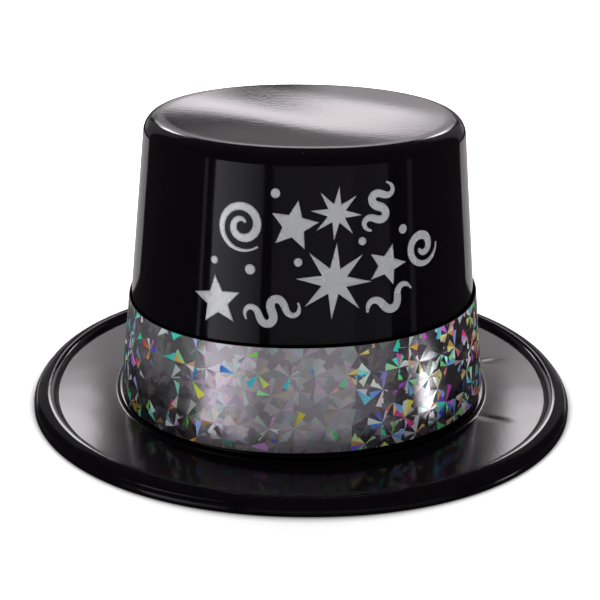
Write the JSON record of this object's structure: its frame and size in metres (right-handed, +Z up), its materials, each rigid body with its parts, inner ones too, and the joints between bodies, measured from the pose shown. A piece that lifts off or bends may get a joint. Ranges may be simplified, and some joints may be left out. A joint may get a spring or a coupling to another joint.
{
  "type": "party top hat",
  "caption": "Moulded plastic party top hat with oval crown, flat beaded brim, lift-off hologram foil band and raised foil shapes on the front.",
  "frame": {"origin": "centre of the brim's outline, at the plane of the lip's lower edge that the hat rests on", "axes": "+Z up through the crown, -Y out of the front that carries the foil shapes, +X to the wearer's left"},
  "size_m": [0.256, 0.2704, 0.134],
  "materials": {
    "black_plastic": "deep black vacuum-formed sheet with a wet gloss",
    "hologram_foil": "silver hologram foil on card, broken into triangular shards that flash in colours",
    "clear_tape": "double-sided tape",
    "silver_foil": "hot-stamped silver foil, brushed mirror"
  },
  "bodies": {
    "shell": {"hat_shell": "black_plastic", "foil_star_left": "silver_foil", "foil_star_low": "silver_foil", "foil_star_right": "silver_foil", "foil_burst_top": "silver_foil", "foil_burst_low": "silver_foil", "foil_curl_left": "silver_foil", "foil_curl_right": "silver_foil", "foil_wave_top": "silver_foil", "foil_wave_low": "silver_foil", "foil_wave_right": "silver_foil", "foil_dot_1": "silver_foil", "foil_dot_2": "silver_foil", "foil_dot_3": "silver_foil", "foil_dot_4": "silver_foil", "foil_dot_5": "silver_foil", "foil_dot_6": "silver_foil"},
    "band": {"hat_band": "hologram_foil", "band_lap_tape": "clear_tape"}
  },
  "joints": [
    {"name": "band_lift", "type": "slide", "parent": "shell", "child": "band", "axis": [0, 0, 1], "range_m": [0, 0.15]}
  ]
}
